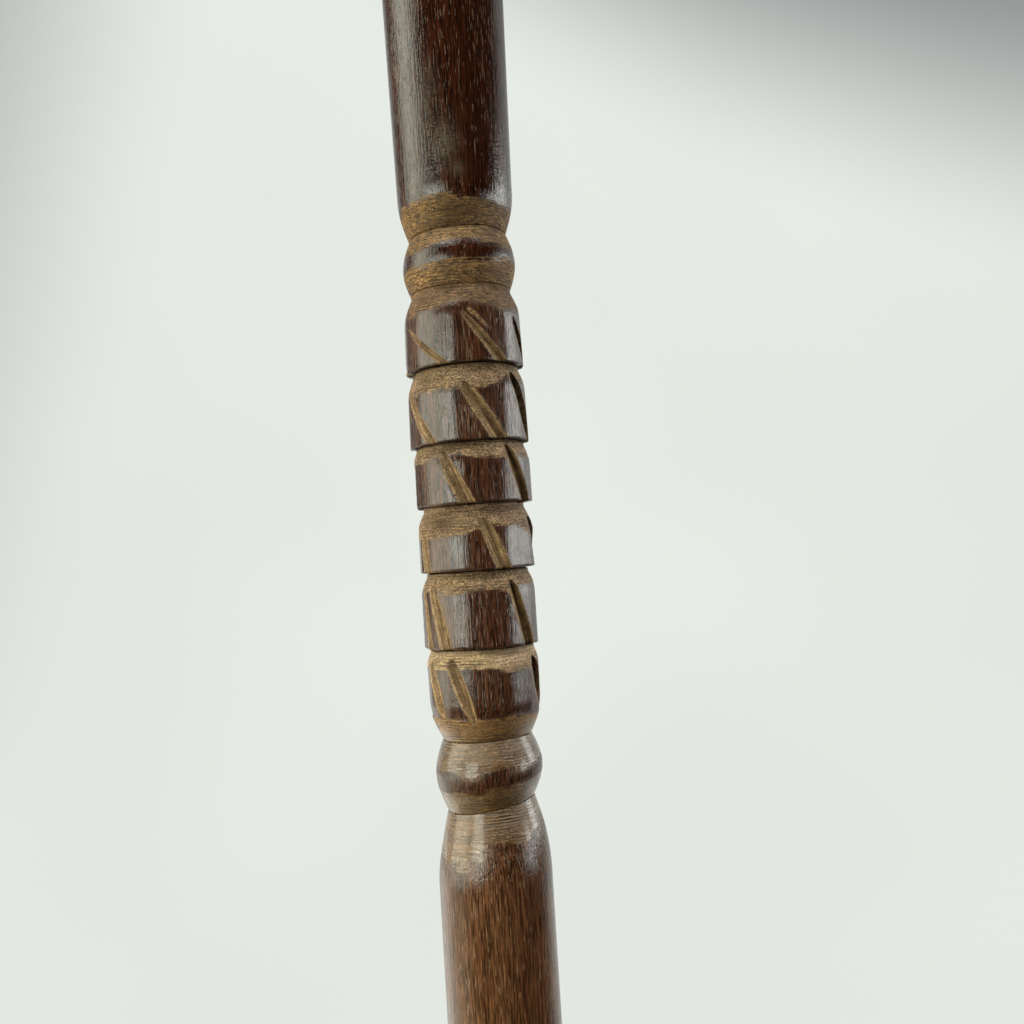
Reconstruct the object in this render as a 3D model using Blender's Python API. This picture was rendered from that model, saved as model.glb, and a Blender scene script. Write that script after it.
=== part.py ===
"""A high-whorl drop spindle: a carved hardwood shaft, a whorl that lifts off, a screw hook and its collar.

Metres, +Z up along the shaft. The origin is the inside top of the hook, where the yarn pulls, so the
spindle hangs below it. Drops are lengths measured down from the shaft's top end. Angles round the
shaft start at -Y and run towards +X.
"""

import math
from collections import namedtuple

import bpy

MM = 0.001
FIT_GAP = 0.3 * MM

# Shaft: its ends and its plain stretches.
SHAFT_TOP_Z = -15.0 * MM
SHAFT_LENGTH = 285.0 * MM
TENON_TOP_R = 5.1 * MM
TENON_FOOT_R = 5.35 * MM
TENON_CHAMFER = 0.9 * MM
SHOULDER_DROP = 22.8 * MM
SHOULDER_R = 7.45 * MM
SHOULDER_ROUND = 0.8 * MM
UPPER_END_DROP = 101.2 * MM
UPPER_END_R = 6.15 * MM
LOWER_START_DROP = 173.0 * MM
LOWER_R = 5.9 * MM
TAPER_DROP = 225.0 * MM
TIP_ROUND_DROP = 279.0 * MM
TIP_ROUND_R = 4.7 * MM
TIP_FLAT_R = 2.0 * MM

# Carved stretch: necks and beads, as (drop, radius).
TOP_NECK = (105.7 * MM, 5.15 * MM)
TOP_BEAD_R = 5.97 * MM
BANDS_NECK = (111.8 * MM, 5.25 * MM)
FOOT_NECK = (158.2 * MM, 4.65 * MM)
FOOT_BEAD_R = 5.56 * MM
LOWER_NECK = (165.1 * MM, 4.55 * MM)
LIP_EDGE = 0.15 * MM

# Each band has a filed chamfer from its neck to its shoulder, then a wall down to its lip. Six
# V gouges cross it, one on each of six lines that wind down the shaft from band to band: their
# angles are at mid-height, and twist is how far each one turns over the band.
Band = namedtuple("Band", "neck neck_r shoulder shoulder_r lip lip_r gouge_start twist gouges")
BANDS = [
    Band(111.8, 5.25, 115.2, 6.20, 119.95, 6.29, 115.0, 48, (-106, -47, 24, 74, 134, 194)),
    Band(120.1, 5.55, 123.0, 6.27, 127.90, 6.33, 121.6, 44, (-52, 15, 67, 127, 187, 247)),
    Band(128.0, 5.65, 130.4, 6.22, 134.20, 6.25, 129.0, 34, (-14, 52, 112, 172, 232, 285)),
    Band(134.4, 5.25, 137.4, 6.12, 141.00, 6.15, 136.0, 28, (20, 78, 138, 198, 256, 303)),
    Band(141.2, 5.30, 143.6, 6.00, 148.90, 6.00, 142.4, 25, (47, 105, 165, 225, 296, 316)),
    Band(149.1, 5.40, 150.9, 5.92, 154.30, 5.87, 150.0, 22, (75, 130, 190, 245, 302, 336)),
]
GOUGE_DEPTH = 0.6 * MM
GOUGE_LEAD = 1.6 * MM
GOUGE_FADE = 2.0 * MM
GOUGE_HALF_ANGLE = math.radians(7.5)
COLUMNS_BETWEEN_GOUGES = 3

# Whorl: a turned disc, drawn as heights above its underside.
WHORL_UNDER_Z = -38.0 * MM
WHORL_R = 35.0 * MM
HUB_HEIGHT = 15.0 * MM
HUB_R = 12.0 * MM
SEAT_R = 8.1 * MM
SEAT_DEPTH = 0.5 * MM
RIM_GOUGES = 24
RIM_GOUGE_DEPTH = 0.7 * MM
RIM_GOUGE_HALF_ANGLE = math.radians(1.9)
RIM_GOUGE_SLANT = math.radians(9.5)
NOTCH_DEPTH = 2.6 * MM
NOTCH_ANGLE = math.radians(90)

# Hook: round wire, with its crook centred over the shaft, and a pressed collar on its shank.
WIRE_R = 0.85 * MM
CROOK_INNER_R = 3.5 * MM
CROOK_FILLET_R = 1.6 * MM
CROOK_END_ANGLE = math.radians(-32)
SCREW_DEPTH = 12.0 * MM
COLLAR_R = 3.0 * MM
COLLAR_HEIGHT = 0.9 * MM


def clear_scene():
    for thing in list(bpy.data.objects):
        bpy.data.objects.remove(thing)


def material(name, colour, roughness, metallic=0.0):
    made = bpy.data.materials.new(name)
    made.use_nodes = True
    shader = made.node_tree.nodes["Principled BSDF"]
    shader.inputs["Base Color"].default_value = (*colour, 1.0)
    shader.inputs["Roughness"].default_value = roughness
    shader.inputs["Metallic"].default_value = metallic
    return made


def shaft_wood():
    return material("shaft_wood", (0.085, 0.034, 0.020), 0.38)


def whorl_wood():
    return material("whorl_wood", (0.080, 0.032, 0.020), 0.38)


def brass():
    return material("brass", (0.72, 0.50, 0.22), 0.30, metallic=1.0)


def collar_brass():
    return material("collar_brass", (0.68, 0.47, 0.20), 0.34, metallic=1.0)


def point(radius, angle, z):
    return (radius * math.sin(angle), -radius * math.cos(angle), z)


def skin(name, rings, finish, closed):
    """One closed body through rings of points. A ring of one point is a pole. The rings run out over
    the top and down the outside; closed joins the last ring to the first, as round a bore."""
    vertices = [p for ring in rings for p in ring]
    starts = [sum(len(ring) for ring in rings[:i]) for i in range(len(rings))]
    order = list(range(len(rings))) + ([0] if closed else [])
    faces = []
    for upper, lower in zip(order, order[1:]):
        columns = max(len(rings[upper]), len(rings[lower]))
        for j in range(columns):
            after = (j + 1) % columns
            corners = [
                starts[upper] + j % len(rings[upper]),
                starts[lower] + j % len(rings[lower]),
                starts[lower] + after % len(rings[lower]),
                starts[upper] + after % len(rings[upper]),
            ]
            faces.append(list(dict.fromkeys(corners)))
    mesh = bpy.data.meshes.new(name)
    mesh.from_pydata(vertices, [], faces)
    mesh.shade_smooth()
    mesh.set_sharp_from_angle(angle=math.radians(35))
    mesh.materials.append(finish)
    made = bpy.data.objects.new(name, mesh)
    bpy.context.scene.collection.objects.link(made)
    return made


def shares(count):
    return [i / count for i in range(1, count + 1)]


def rounded_in(start, end, count):
    """Leaves start along the shaft and curves in to end."""
    (d0, r0), (d1, r1) = start, end
    return [(d0 + (d1 - d0) * t, r1 + (r0 - r1) * math.cos(math.pi / 2 * t)) for t in shares(count)]


def rounded_out(start, end, count):
    """Leaves start steeply and runs out along the shaft at end."""
    (d0, r0), (d1, r1) = start, end
    return [(d0 + (d1 - d0) * t, r0 + (r1 - r0) * math.sin(math.pi / 2 * t)) for t in shares(count)]


def bead(start, end, radius, count):
    """A round bead between two necks."""
    (d0, r0), (d1, r1) = start, end
    rise = radius - (r0 + r1) / 2
    return [
        (d0 + (d1 - d0) * t, r0 + (r1 - r0) * t + rise * math.sin(math.pi * t))
        for t in shares(count)
    ]


def band_outline(band):
    """A band's chamfer and wall, from just under its neck to its lip."""
    neck = (band.neck * MM, band.neck_r * MM)
    shoulder = (band.shoulder * MM, band.shoulder_r * MM)
    lip = (band.lip * MM, band.lip_r * MM)
    middle = ((shoulder[0] + lip[0]) / 2, (shoulder[1] + lip[1]) / 2)
    return [neck] + rounded_out(neck, shoulder, 3) + [middle, lip]


def shaft_outline():
    """The shaft's outside as (drop, radius), from its top edge down to the rim of its tip."""
    outline = [
        (0.0, TENON_TOP_R - TENON_CHAMFER),
        (TENON_CHAMFER, TENON_TOP_R),
        (SHOULDER_DROP, TENON_FOOT_R),
        (SHOULDER_DROP, SHOULDER_R - SHOULDER_ROUND / 2),
        (SHOULDER_DROP + SHOULDER_ROUND, SHOULDER_R),
        (UPPER_END_DROP, UPPER_END_R),
    ]
    outline += rounded_in(outline[-1], TOP_NECK, 4)
    outline += bead(TOP_NECK, BANDS_NECK, TOP_BEAD_R, 8)[:-1]
    for band in BANDS:
        outline += band_outline(band)
    outline += rounded_in(outline[-1], FOOT_NECK, 4)
    outline += bead(FOOT_NECK, LOWER_NECK, FOOT_BEAD_R, 8)
    outline += rounded_out(LOWER_NECK, (LOWER_START_DROP, LOWER_R), 5)
    outline += [(TAPER_DROP, LOWER_R), (TIP_ROUND_DROP, TIP_ROUND_R)]
    outline += rounded_in(outline[-1], (SHAFT_LENGTH, TIP_FLAT_R), 4)
    return outline


def spiral_angle(line, drop):
    """Where one of the six gouge lines crosses this drop. Between bands it runs on to the next band's
    gouge, and beyond the bands it runs straight along the shaft."""
    stations = []
    for band in BANDS:
        mid, half = math.radians(band.gouges[line]), math.radians(band.twist) / 2
        foot = FOOT_NECK[0] if band is BANDS[-1] else band.lip * MM
        stations += [(band.gouge_start * MM, mid - half), (foot, mid + half)]
    if drop <= stations[0][0]:
        return stations[0][1]
    for (d0, a0), (d1, a1) in zip(stations, stations[1:]):
        if drop <= d1:
            return a0 + (a1 - a0) * (drop - d0) / (d1 - d0)
    return stations[-1][1]


def gouge_depth(drop):
    """How deep the gouges are at this drop. They run out through each lip; the last band's fade."""
    for band in BANDS:
        depth = GOUGE_DEPTH * min(1.0, (drop - band.gouge_start * MM) / GOUGE_LEAD)
        if band is BANDS[-1]:
            depth *= min(1.0, (band.lip * MM + GOUGE_FADE - drop) / GOUGE_FADE)
        elif drop > band.lip * MM + LIP_EDGE / 2:
            continue
        return max(0.0, depth)
    return 0.0


def shaft_ring(drop, radius):
    """The shaft's outside at one drop: columns on each gouge's edges and valley, and between gouges."""
    centres = [spiral_angle(line, drop) for line in range(6)]
    ring = []
    for line, centre in enumerate(centres):
        z = SHAFT_TOP_Z - drop
        following = centres[line + 1] if line < 5 else centres[0] + 2 * math.pi
        ring.append(point(radius, centre - GOUGE_HALF_ANGLE, z))
        ring.append(point(radius - gouge_depth(drop), centre, z))
        ring.append(point(radius, centre + GOUGE_HALF_ANGLE, z))
        span = following - centre - 2 * GOUGE_HALF_ANGLE
        for k in range(1, COLUMNS_BETWEEN_GOUGES + 1):
            share = k / (COLUMNS_BETWEEN_GOUGES + 1)
            ring.append(point(radius, centre + GOUGE_HALF_ANGLE + span * share, z))
    return ring


def make_shaft():
    """The shaft, with a blind pilot hole down its top for the hook's screw."""
    hole_r = WIRE_R + FIT_GAP
    hole_z = SHAFT_TOP_Z - SCREW_DEPTH - 1.0 * MM
    outside = [shaft_ring(drop, radius) for drop, radius in shaft_outline()]
    angles = [math.atan2(x, -y) for x, y, z in outside[0]]
    hole = [[point(hole_r, a, z) for a in angles] for z in (hole_z, SHAFT_TOP_Z)]
    tip = [(0.0, 0.0, SHAFT_TOP_Z - SHAFT_LENGTH)]
    return skin("shaft", [[(0.0, 0.0, hole_z)]] + hole + outside + [tip], shaft_wood(), closed=False)


def tenon_radius(z):
    share = (SHAFT_TOP_Z - z) / SHOULDER_DROP
    return TENON_TOP_R + (TENON_FOOT_R - TENON_TOP_R) * share


def whorl_outline():
    """(radius, height above the underside), out over the top, down the rim, in under and up the bore."""
    bore_top = tenon_radius(WHORL_UNDER_Z + HUB_HEIGHT) + FIT_GAP
    bore_foot = tenon_radius(WHORL_UNDER_Z + SEAT_DEPTH) + FIT_GAP
    hub = [
        (bore_top, HUB_HEIGHT - 0.4 * MM),
        (bore_top + 0.4 * MM, HUB_HEIGHT),
        (HUB_R - 1.5 * MM, HUB_HEIGHT),
        (HUB_R - 0.4 * MM, HUB_HEIGHT - 0.5 * MM),
        (HUB_R, HUB_HEIGHT - 1.6 * MM),
        (HUB_R + 1.0 * MM, 11.6 * MM),
        (HUB_R + 3.5 * MM, 10.3 * MM),
    ]
    top = [
        (17.0 * MM, 10.9 * MM),
        (18.8 * MM, 10.9 * MM),
        (20.2 * MM, 10.2 * MM),
        (30.0 * MM, 9.2 * MM),
        (30.8 * MM, 8.6 * MM),
    ]
    rim = [
        (31.6 * MM, 9.3 * MM),
        (33.9 * MM, 8.5 * MM),
        (WHORL_R - 0.2 * MM, 7.0 * MM),
        (WHORL_R, 1.3 * MM),
        (WHORL_R - 1.3 * MM, 1.1 * MM),
        (WHORL_R - 2.0 * MM, 0.0),
    ]
    seat = [(SEAT_R, 0.0), (SEAT_R, SEAT_DEPTH), (bore_foot, SEAT_DEPTH)]
    return hub + top + rim + seat


def rim_columns(radius, height):
    """(angle, cut) round the whorl at one point of its outline. Cut is how far a gouge or the yarn
    notch reaches in there. The gouges lean over the wall of the rim, and the notch is upright."""
    lean = max(-1.0, min(1.0, (4.1 * MM - height) / (2.9 * MM))) if radius > HUB_R * 2 else 0.0
    on_wall = radius > 33.5 * MM and height > 1.2 * MM
    in_notch = max(0.0, radius - (WHORL_R - NOTCH_DEPTH))
    columns = []
    for k in range(RIM_GOUGES):
        centre = NOTCH_ANGLE + 2 * math.pi * k / RIM_GOUGES
        cut = in_notch if k == 0 else RIM_GOUGE_DEPTH * on_wall
        if k:
            centre += RIM_GOUGE_SLANT / 2 * lean
        columns += [
            (centre - RIM_GOUGE_HALF_ANGLE, 0.0),
            (centre, cut),
            (centre + RIM_GOUGE_HALF_ANGLE, 0.0),
        ]
    return columns


def make_whorl():
    rings = [
        [point(radius - cut, angle, WHORL_UNDER_Z + height) for angle, cut in rim_columns(radius, height)]
        for radius, height in whorl_outline()
    ]
    return skin("whorl", rings, whorl_wood(), closed=True)


def hook_path():
    """The wire's centre line in the XZ plane, from its screw point up, round the crook and to its end."""
    crook_r = CROOK_INNER_R + WIRE_R
    centre_z = -CROOK_INNER_R
    fillet_z = centre_z - math.sqrt(crook_r**2 + 2 * crook_r * CROOK_FILLET_R)
    joined = math.atan2(fillet_z - centre_z, -CROOK_FILLET_R) + 2 * math.pi
    screw_z = SHAFT_TOP_Z - SCREW_DEPTH
    path = [(0.0, screw_z), (0.0, screw_z + 2 * MM), (0.0, SHAFT_TOP_Z)]
    fillet_turn = joined - math.pi
    for t in range(7):
        angle = fillet_turn * t / 6
        path.append(
            (CROOK_FILLET_R * (math.cos(angle) - 1), fillet_z + CROOK_FILLET_R * math.sin(angle))
        )
    for t in range(1, 29):
        angle = joined + (CROOK_END_ANGLE - joined) * t / 28
        path.append((crook_r * math.cos(angle), centre_z + crook_r * math.sin(angle)))
    return path


def make_hook():
    curve = bpy.data.curves.new("hook", "CURVE")
    curve.dimensions = "3D"
    curve.bevel_depth = WIRE_R
    curve.bevel_resolution = 3
    curve.use_fill_caps = True
    path = hook_path()
    spline = curve.splines.new("POLY")
    spline.points.add(len(path) - 1)
    for place, (x, z) in zip(spline.points, path):
        place.co = (x, 0.0, z, 1.0)
    spline.points[0].radius = 0.3
    curve.materials.append(brass())
    made = bpy.data.objects.new("hook", curve)
    bpy.context.scene.collection.objects.link(made)
    return made


def make_collar():
    """The pressed disc round the hook's shank, standing on the shaft's end."""
    z = SHAFT_TOP_Z + FIT_GAP
    bore_r = WIRE_R + FIT_GAP
    outline = [
        (bore_r, COLLAR_HEIGHT),
        (COLLAR_R * 0.7, COLLAR_HEIGHT),
        (COLLAR_R, COLLAR_HEIGHT * 0.5),
        (COLLAR_R, 0.0),
        (bore_r, 0.0),
    ]
    turns = [2 * math.pi * k / 20 for k in range(20)]
    rings = [[point(radius, a, z + height) for a in turns] for radius, height in outline]
    return skin("hook_collar", rings, collar_brass(), closed=True)


clear_scene()
make_shaft()
make_whorl()
make_hook()
make_collar()
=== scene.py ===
"""The looks of the drop spindle: its carved and polished shaft, the turned whorl and the brass hook.

The pieces' lengths are millimetres until their points are multiplied by MM. Those of the materials, the
studio, the lights and the camera are metres, apart from CAMERA_DROP. A drop is a length measured down
from the shaft's top end. Angles round the shaft start at -Y, towards +X.
"""

import math
from collections import namedtuple

import bpy
import numpy as np
from mathutils import Matrix, Vector


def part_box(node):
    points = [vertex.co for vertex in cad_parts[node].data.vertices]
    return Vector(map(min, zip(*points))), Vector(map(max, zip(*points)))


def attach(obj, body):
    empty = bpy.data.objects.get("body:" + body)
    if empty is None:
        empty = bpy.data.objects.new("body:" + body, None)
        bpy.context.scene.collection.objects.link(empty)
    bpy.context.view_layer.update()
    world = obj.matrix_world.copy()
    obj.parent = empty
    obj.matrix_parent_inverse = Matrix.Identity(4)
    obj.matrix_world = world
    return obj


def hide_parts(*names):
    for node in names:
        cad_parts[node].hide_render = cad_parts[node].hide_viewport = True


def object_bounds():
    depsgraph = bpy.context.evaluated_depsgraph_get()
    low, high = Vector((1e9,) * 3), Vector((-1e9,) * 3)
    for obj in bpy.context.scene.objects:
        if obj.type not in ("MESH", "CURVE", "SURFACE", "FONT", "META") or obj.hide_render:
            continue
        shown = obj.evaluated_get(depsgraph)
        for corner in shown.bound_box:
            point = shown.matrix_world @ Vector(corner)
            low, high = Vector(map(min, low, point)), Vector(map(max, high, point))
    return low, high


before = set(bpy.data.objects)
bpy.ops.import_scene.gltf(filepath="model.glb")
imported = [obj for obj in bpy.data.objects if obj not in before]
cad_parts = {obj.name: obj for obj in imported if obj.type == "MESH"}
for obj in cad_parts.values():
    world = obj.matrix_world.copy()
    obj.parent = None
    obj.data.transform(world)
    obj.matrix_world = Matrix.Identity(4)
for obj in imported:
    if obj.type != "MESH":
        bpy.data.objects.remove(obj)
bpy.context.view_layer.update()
MM = 0.001

# ---------------------------------------------------------------- the shaft's turned and carved form

# Each band: its neck and chamfer, and its wall down to the lip. Drops and radii in millimetres.
Band = namedtuple("Band", "neck neck_r shoulder shoulder_r lip lip_r")
BANDS = [
    Band(111.8, 5.25, 115.2, 6.20, 119.95, 6.29),
    Band(120.1, 5.55, 123.0, 6.27, 127.90, 6.33),
    Band(128.0, 5.65, 130.4, 6.22, 134.20, 6.25),
    Band(134.4, 5.25, 137.4, 6.12, 141.00, 6.15),
    Band(141.2, 5.30, 143.6, 6.00, 148.90, 6.00),
    Band(149.1, 5.40, 150.9, 5.92, 154.30, 5.87),
]
# The rest of the outline, as (drop, radius) pairs or as a radius or a drop alone.
UPPER_MIDDLE = (92.0, 6.305)
UPPER_END = (101.2, 6.15)
TOP_NECK = (105.7, 5.15)
TOP_BEAD_R = 5.97
FOOT_NECK = (158.2, 4.65)
FOOT_BEAD_R = 5.56
LOWER_NECK = (165.1, 4.55)
LOWER_START = (173.0, 5.9)
LOWER_MIDDLE = (190.0, 5.9)
TAPER_START = (225.0, 5.9)
TIP_ROUND = (279.0, 4.7)
TIP_FLAT_R = 2.0
SHOULDER_DROP = 22.8
SHOULDER_R = 7.45
TENON_TOP_R = 5.1
TENON_FOOT_R = 5.35
PILOT_R = 1.15
PILOT_DEPTH = 13.0
PILOT_CHAMFER = 0.2

# Rounded edges, as (further down, further in) from a corner.
TENON_EDGE = [(0.0, 0.9), (0.25, 0.42), (0.6, 0.12), (1.0, 0.0)]
SHOULDER_EDGE = [(0.0, 0.45), (0.2, 0.15), (0.6, 0.0)]
LIP_EDGE = [(0.0, 0.07), (0.03, 0.4)]
LIP_ROUND = 0.12          # how far above a lip its edge starts to round
UNDERCUT_DROP = 0.08      # how far below a lip the knife reaches in under it

KNIFE_CUT = 0.2           # how deep a knife line is
FAINT_CUT = 0.08          # and the faint one above the first band
KNIFE_HALF = 0.06         # half the width of a knife line
NECK_FLAT = (0.35, 0.04)  # how far a band's neck runs on down and out before its chamfer starts
CHAMFER_STEP = 0.14       # the mesh's rows along a chamfer
WALL_STEP = 0.2           # and along a wall
GOUGE_COLUMNS = 10
WALL_COLUMNS = 15
LINES = 6                 # the lines of gouges that wind down the shaft

# The six gouges of each band, one for each line that winds down the shaft: the drop where it starts,
# its angle there, its angle at its foot, its half width at both ends in degrees, its depth, and how
# dark it is painted: painted shade in a deep cut, where the cut is also a little dirty.
Gouge = namedtuple("Gouge", "drop start end fine wide depth dirt", defaults=(0.0,))
GOUGES = [
    [Gouge(115.4, -126, -84, 2.0, 6.0, 0.5), Gouge(115.4, -67, -19, 2.0, 5.0, 0.42),
     Gouge(114.8, -1, 38, 1.6, 7.2, 0.5), Gouge(115.1, 59, 83, 3.4, 6.0, 0.7, 1.0),
     Gouge(115.3, 106, 150, 2.0, 6.0, 0.5), Gouge(115.2, 172, 212, 2.2, 6.4, 0.55)],
    [Gouge(122.3, -72, -37, 6.5, 5.5, 0.5), Gouge(122.0, -3, 30, 5.2, 8.6, 0.62),
     Gouge(121.0, 52, 80, 6.0, 8.0, 0.8, 1.0), Gouge(121.8, 112, 142, 5.0, 7.5, 0.6),
     Gouge(122.2, 170, 202, 5.0, 8.0, 0.6), Gouge(121.9, 232, 258, 5.5, 7.0, 0.55)],
    [Gouge(128.8, -29, -5, 4.4, 7.6, 0.6), Gouge(128.5, 38, 62, 5.4, 8.4, 0.8, 0.55),
     Gouge(128.9, 97, 124, 5.0, 8.0, 0.6), Gouge(129.1, 158, 182, 5.0, 7.5, 0.6),
     Gouge(128.8, 214, 240, 5.5, 8.0, 0.6), Gouge(129.0, 252, 276, 5.0, 7.5, 0.6)],
    [Gouge(135.8, 8, 27.5, 4.6, 8.0, 0.62), Gouge(135.8, 74, 91, 8.0, 10.0, 1.0, 1.0),
     Gouge(136.2, 130, 150, 5.0, 8.0, 0.6), Gouge(136.0, 186, 206, 5.0, 7.5, 0.6),
     Gouge(136.3, 244, 262, 5.0, 7.0, 0.6), Gouge(136.5, 299, 304, 5.2, 6.2, 0.5)],
    [Gouge(142.2, 34, 56, 5.2, 8.2, 0.8, 0.6), Gouge(142.4, 97, 116, 5.0, 8.0, 0.7),
     Gouge(142.6, 156, 176, 5.0, 7.5, 0.6), Gouge(142.4, 216, 236, 5.0, 7.5, 0.6),
     Gouge(142.4, 288, 297.5, 5.6, 6.2, 0.5), Gouge(142.2, 307, 323.5, 5.6, 7.0, 0.52)],
    [Gouge(150.2, 62, 85, 5.0, 9.0, 0.95, 1.0), Gouge(150.2, 122, 140, 5.0, 7.0, 0.6),
     Gouge(150.4, 180, 200, 5.0, 7.0, 0.6), Gouge(150.2, 238, 256, 5.0, 7.0, 0.6),
     Gouge(150.0, 293, 314.5, 7.6, 4.0, 0.52), Gouge(149.8, 325, 348, 5.4, 5.2, 0.55)],
]
LAST_GOUGE_FOOT = 156.3
GOUGE_VALLEY = 0.5        # where across a gouge its valley lies, from -1 to 1
GOUGE_HALF_DEG = 6.5      # half the width of a usual gouge
CLOSED_HALF_DEG = 5.0     # and of the space that the mesh keeps for one where it hasn't started
FIRST_SINK, SINK = 2.6, 1.1         # how far down a gouge reaches its depth, in the first band and others
LAST_FADE = 2.2                     # how far above their foot the last band's gouges start to fade out
LAST_BELLY, BELLY = 0.35, 0.12      # how much wider a gouge is halfway down
OPENING = 0.7                       # how far down a gouge opens to its width
NOWHERE = 9.0             # stands for a place across a gouge where there is no gouge
OUTSIDE = -9.0            # stands for a distance inside raw wood where there is none near

# The arrises between the flats of each band's wall, as angles; the far side's are spread unevenly.
ARRISES = [
    (-74, -47, -27, -8, 18, 45, 57, 74),
    (-78, -50, -27, -12, 12, 37, 56, 74),
    (-70, -42, -24, -8, 14, 33, 47, 62),
    (-68, -47, -41, -24, -9, 12, 32, 67),
    (-64, -46, -27, -12, 10, 30, 38, 60, 76),
    (-56, -38, -14, 8, 31, 54, 74),
]
FAR_FLAT_DEG = 27.0       # how wide the far side's flats are
FAR_FLAT_UNEVEN = 6.0     # and how far each arris between them strays

# Where raw filed wood meets polished wood, as (angle, drop) keys along each line. Raw wood lies
# between the two lines of each pair.
RAW_ZONES = [
    ([(-72, 102.6), (-41, 102.7), (-10, 102.4), (4, 103.0), (18, 103.2), (34, 103.0), (60, 103.5)],
     [(-72, 107.6), (-52, 108.1), (-26, 107.8), (-8, 107.5), (12, 107.3), (38, 107.95), (55, 108.1)]),
    ([(-72, 109.3), (-52, 109.3), (-30, 109.6), (-12, 109.3), (25, 109.3), (38, 109.3), (55, 109.0)],
     [(-72, 114.3), (-61, 114.5), (-34, 114.2), (-19, 114.1), (7, 113.6), (17, 114.1), (43, 114.5),
      (60, 114.5)]),
    ([(0, 119.95)],
     [(-61, 122.7), (-19, 122.7), (7, 122.5), (18, 122.7), (29, 122.4), (38, 121.9), (48, 120.9),
      (65, 121.6)]),
    ([(0, 127.9)],
     [(-72, 129.7), (-50, 129.8), (-30, 129.1), (-10, 129.2), (5, 129.7), (28, 129.95), (42, 129.5),
      (70, 129.8)]),
    ([(0, 134.2)],
     [(-63, 137.7), (-28, 137.7), (-6, 137.35), (3, 136.8), (20, 136.7), (31, 136.9), (44, 136.6),
      (67, 137.4)]),
    ([(0, 141.0)],
     [(-52, 142.8), (-39, 143.2), (-19, 143.1), (-8, 142.95), (14, 143.2), (25, 143.3), (47, 143.1),
      (68, 143.0)]),
    ([(0, 148.9)],
     [(-65, 150.7), (-41, 150.7), (-19, 150.9), (3, 151.0), (14, 151.3), (34, 151.6), (47, 151.45),
      (60, 151.1)]),
    ([(-61, 155.7), (-41, 155.9), (-8, 156.0), (14, 155.9), (34, 155.8), (60, 156.0)],
     [(-67, 160.9), (-37, 160.9), (-30, 161.6), (-19, 162.0), (-6, 161.4), (12, 161.1), (22, 161.2),
      (33, 161.8), (47, 161.3), (65, 160.9)]),
    ([(-62, 162.8), (-19, 162.95), (3, 162.95), (25, 162.8), (60, 162.7)],
     [(-72, 169.2), (-56, 170.1), (-45, 169.8), (-34, 170.9), (-24, 170.0), (-14, 169.6), (-6, 169.0),
      (3, 168.4), (21, 168.6), (32, 169.6), (38, 169.1), (47, 168.5), (58, 168.0), (67, 167.6)]),
]
# How crisp each zone's upper and lower line is; below 1 the polish fades in over scattered strokes.
RAW_CRISP = [(0.7, 0.6), (0.5, 0.8), (1, 0.8), (1, 1), (1, 1), (1, 1), (1, 1), (0.8, 0.45), (0.8, 0.22)]
RAW_WAVE = 0.14           # how unsteady those lines are between their keys, in millimetres
FAR_SIDE_DEG = 130.0      # beyond this angle a line leaves its own keys and runs on evenly
FAR_SIDE_SHIFT = 0.25     # and how far above or below its middle it starts to, in millimetres
FLATNESS = 0.8            # how flat the flats are: 0 for round, 1 for dead flat
HAND_WAVE = 0.035         # how far the carved stretch is off round, in millimetres

# Painted shade darkens the knife lines under the lips and in the necks, where the wood is also a little
# dirty: (drop, reach, strength).
KNIFE_LINE_SHADE = [(band.lip + KNIFE_HALF, 0.11, 1.0) for band in BANDS[:-1]]
KNIFE_LINE_SHADE += [(TOP_NECK[0] + KNIFE_HALF, 0.10, 0.35), (BANDS[0].neck - 0.05, 0.10, 0.15)]
KNIFE_LINE_SHADE += [(FOOT_NECK[0] + KNIFE_HALF, 0.07, 0.35), (LOWER_NECK[0] + KNIFE_HALF, 0.07, 0.25)]

# Darker patches on the wood: (angle, drop, reach in degrees, reach in millimetres, strength).
DARK_PATCHES = [
    (-4, 104.1, 22, 1.2, 0.5), (-16, 105.5, 28, 0.45, 0.65), (-15, 112.0, 26, 0.4, 0.5),
    (42, 112.1, 6, 0.3, 0.7), (-30, 128.7, 20, 0.5, 0.5), (-36, 136.0, 20, 0.9, 0.7),
    (12, 121.0, 20, 0.4, 0.25), (-45, 121.2, 14, 0.5, 0.4),
]
# Where across a gouge its painted shade starts, and where it is full: in one that is shaded nearly all
# over, and in one shaded only on its steep side.
ALL_SHADED = (-0.9, 0.1)
STEEP_SIDE_SHADED = (-0.1, 0.65)
# Where the polish is scuffed to a grey haze, in the same terms.
HAZE_PATCHES = [(-6, 97.5, 12, 2.2, 0.6), (4, 100.2, 8, 0.8, 0.5), (-20, 92.0, 9, 3.0, 0.25)]
# Stray nicks of the knife: both ends as (angle, drop), and half the width in millimetres.
NICKS = [((8, 114.7), (25, 116.6), 0.24)]
# How far hand work moves the lines round the shaft, in millimetres: (drop, lean to one side, waviness).
# Between these it blends, and the two plain ends stay as they are.
WOBBLE = [(95.0, 0.0, 0.0), (105.7, 0.15, 0.06), (111.8, 0.1, 0.06)]
WOBBLE += [(band.lip, 0.15 - 0.03 * k, 0.09) for k, band in enumerate(BANDS[:-1])]
WOBBLE += [(158.2, 0.05, 0.06), (165.1, 0.5, 0.06), (169.0, 0.95, 0.05), (176.0, 0.0, 0.0)]
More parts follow.
